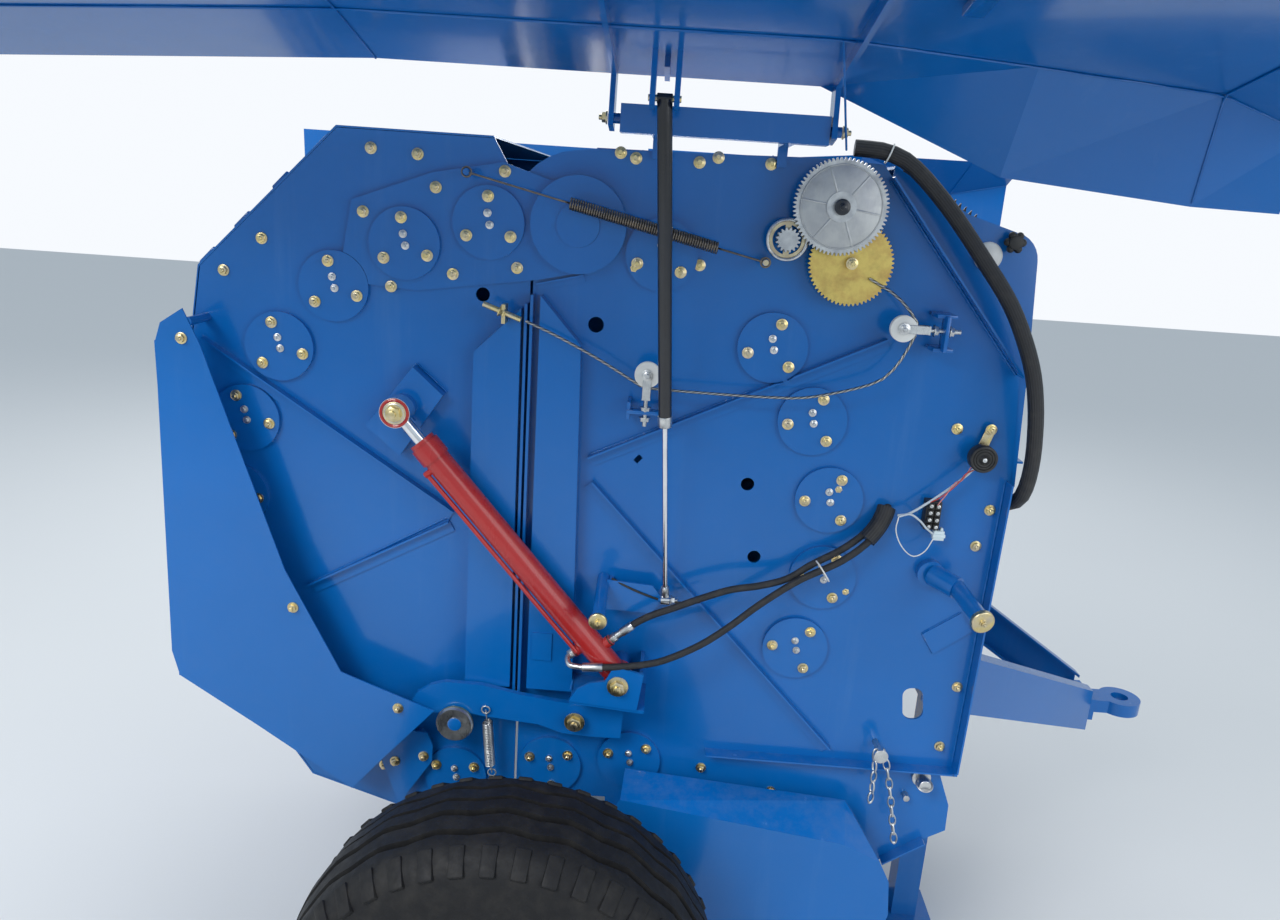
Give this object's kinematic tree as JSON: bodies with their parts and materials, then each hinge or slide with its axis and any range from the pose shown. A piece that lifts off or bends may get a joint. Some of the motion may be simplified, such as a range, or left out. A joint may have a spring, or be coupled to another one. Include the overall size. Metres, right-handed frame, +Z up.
{
  "type": "round baler",
  "caption": "Trailed round baler with a fixed roller chamber, lifting tailgate, tine pickup, net wrap box and gull-wing side covers, standing on its wheels and parking stand",
  "frame": {"origin": "centre of the hitch eye's bore", "axes": "+X forwards along the drawbar, +Y to the machine's left, +Z up"},
  "size_m": [2.901, 3.1603, 2.4645],
  "materials": {
    "blue_paint": "glossy enamel over sheet steel",
    "worn_steel": "bare steel polished by the crop",
    "cast_iron": "grey casting",
    "dark_steel": "oiled dark steel",
    "zinc_steel": "yellow zinc plating",
    "black_plastic": "matt black",
    "hose_rubber": "matt black rubber",
    "red_paint": "red enamel",
    "chromed_rod": "polished chrome",
    "black_paint": "satin black",
    "tyre_rubber": "black tyre rubber",
    "rim_paint": "pale enamel"
  },
  "bodies": {
    "root": {"front_side_plates": "blue_paint", "front_bearings": "blue_paint", "front_rollers": "worn_steel", "frame_beams": "blue_paint", "axle": "blue_paint", "top_sheet": "blue_paint", "net_box": "blue_paint", "drawbar": "blue_paint", "gearbox": "cast_iron", "pins_and_chains": "zinc_steel", "hinge_beams": "blue_paint", "net_gears": "zinc_steel", "tension_spring": "dark_steel", "trip_cable": "dark_steel", "electrics": "black_plastic", "hydraulic_hoses": "hose_rubber", "cylinder_hoses": "hose_rubber", "cable_pulleys": "zinc_steel"},
    "tailgate": {"tailgate_side_plates": "blue_paint", "tailgate_skin": "blue_paint", "tailgate_bearings": "blue_paint", "tailgate_rollers": "worn_steel", "tailgate_pivot_plates": "blue_paint", "tailgate_pins": "zinc_steel", "tailgate_guards": "blue_paint"},
    "latch_right": {"latch_right": "blue_paint"},
    "barrel_right": {"barrel_right": "red_paint"},
    "rod_right": {"rod_right": "chromed_rod"},
    "cover_right": {"cover_right": "blue_paint"},
    "strut_rod_right": {"strut_rod_right": "chromed_rod"},
    "strut_tube_right": {"strut_tube_right": "black_paint"},
    "wheel_right": {"tyre_right": "tyre_rubber", "rim_right": "rim_paint"},
    "latch_left": {"latch_left": "blue_paint"},
    "barrel_left": {"barrel_left": "red_paint"},
    "rod_left": {"rod_left": "chromed_rod"},
    "cover_left": {"cover_left": "blue_paint"},
    "strut_rod_left": {"strut_rod_left": "chromed_rod"},
    "strut_tube_left": {"strut_tube_left": "black_paint"},
    "wheel_left": {"tyre_left": "tyre_rubber", "rim_left": "rim_paint"},
    "pickup": {"pickup_frame": "blue_paint", "pickup_bands": "blue_paint"},
    "reel": {"pickup_reel": "worn_steel"},
    "stand": {"stand_leg": "blue_paint"}
  },
  "joints": [
    {"name": "tailgate_lift", "type": "hinge", "parent": "root", "child": "tailgate", "pos_m": [-1.679, 0, 1.35], "axis": [0, 1, 0], "range_deg": [0, 70], "deforming": ["tension_spring"]},
    {"name": "barrel_swing_right", "type": "hinge", "parent": "root", "child": "barrel_right", "pos_m": [-1.533, -0.745, 0.354], "axis": [0, 1, 0], "range_deg": [0, 12.4]},
    {"name": "rod_slide_right", "type": "slide", "parent": "barrel_right", "child": "rod_right", "axis": [-0.6572, 0, 0.7537], "range_m": [0, 0.58906]},
    {"name": "latch_lift_right", "type": "hinge", "parent": "root", "child": "latch_right", "pos_m": [-1.63, -0.705, 0.224], "axis": [0, 1, 0], "range_deg": [0, 12]},
    {"name": "cover_lift_right", "type": "hinge", "parent": "root", "child": "cover_right", "pos_m": [-1.398, -0.8, 1.556], "axis": [1, 0, 0], "range_deg": [0, 100]},
    {"name": "strut_swing_right", "type": "hinge", "parent": "root", "child": "strut_rod_right", "pos_m": [-1.44, -0.7, 0.532], "axis": [-0.9841, -0.1492, -0.0964], "range_deg": [0, 3.78]},
    {"name": "strut_slide_right", "type": "slide", "parent": "strut_rod_right", "child": "strut_tube_right", "axis": [-0.0678, -0.186, 0.9802], "range_m": [-0.14638, 0]},
    {"name": "wheel_spin_right", "type": "hinge", "parent": "root", "child": "wheel_right", "pos_m": [-1.716, -1.13, -0.174], "axis": [0, 1, 0], "continuous": true},
    {"name": "barrel_swing_left", "type": "hinge", "parent": "root", "child": "barrel_left", "pos_m": [-1.533, 0.745, 0.354], "axis": [0, 1, 0], "range_deg": [0, 12.4]},
    {"name": "rod_slide_left", "type": "slide", "parent": "barrel_left", "child": "rod_left", "axis": [-0.6572, 0, 0.7537], "range_m": [0, 0.58906]},
    {"name": "latch_lift_left", "type": "hinge", "parent": "root", "child": "latch_left", "pos_m": [-1.63, 0.705, 0.224], "axis": [0, 1, 0], "range_deg": [0, 12]},
    {"name": "cover_lift_left", "type": "hinge", "parent": "root", "child": "cover_left", "pos_m": [-1.398, 0.8, 1.556], "axis": [1, 0, 0], "range_deg": [0, 100]},
    {"name": "strut_swing_left", "type": "hinge", "parent": "root", "child": "strut_rod_left", "pos_m": [-1.44, 0.7, 0.532], "axis": [0.9841, -0.1492, 0.0964], "range_deg": [-3.78, 0]},
    {"name": "strut_slide_left", "type": "slide", "parent": "strut_rod_left", "child": "strut_tube_left", "axis": [-0.0785, 0.1215, 0.9895], "range_m": [0, 0.14638]},
    {"name": "wheel_spin_left", "type": "hinge", "parent": "root", "child": "wheel_left", "pos_m": [-1.716, 1.13, -0.174], "axis": [0, 1, 0], "continuous": true},
    {"name": "pickup_lift", "type": "hinge", "parent": "root", "child": "pickup", "pos_m": [-1.496, 0, -0.064], "axis": [0, 1, 0], "range_deg": [-12, 10]},
    {"name": "reel_spin", "type": "hinge", "parent": "pickup", "child": "reel", "pos_m": [-1.121, 0, -0.199], "axis": [0, 1, 0], "continuous": true},
    {"name": "stand_slide", "type": "slide", "parent": "root", "child": "stand", "axis": [0, 0, 1], "range_m": [0, 0.2]}
  ],
  "couplings": [
    {"joint": "barrel_swing_right", "follows": "tailgate_lift", "ratio": 0.17709},
    {"joint": "rod_slide_right", "follows": "tailgate_lift", "m_per_rad": 0.48215},
    {"joint": "strut_swing_right", "follows": "cover_lift_right", "ratio": 0.03782},
    {"joint": "strut_slide_right", "follows": "cover_lift_right", "m_per_rad": -0.08387},
    {"joint": "barrel_swing_left", "follows": "tailgate_lift", "ratio": 0.17709},
    {"joint": "rod_slide_left", "follows": "tailgate_lift", "m_per_rad": 0.48215},
    {"joint": "strut_swing_left", "follows": "cover_lift_left", "ratio": -0.03782},
    {"joint": "strut_slide_left", "follows": "cover_lift_left", "m_per_rad": 0.08387}
  ]
}
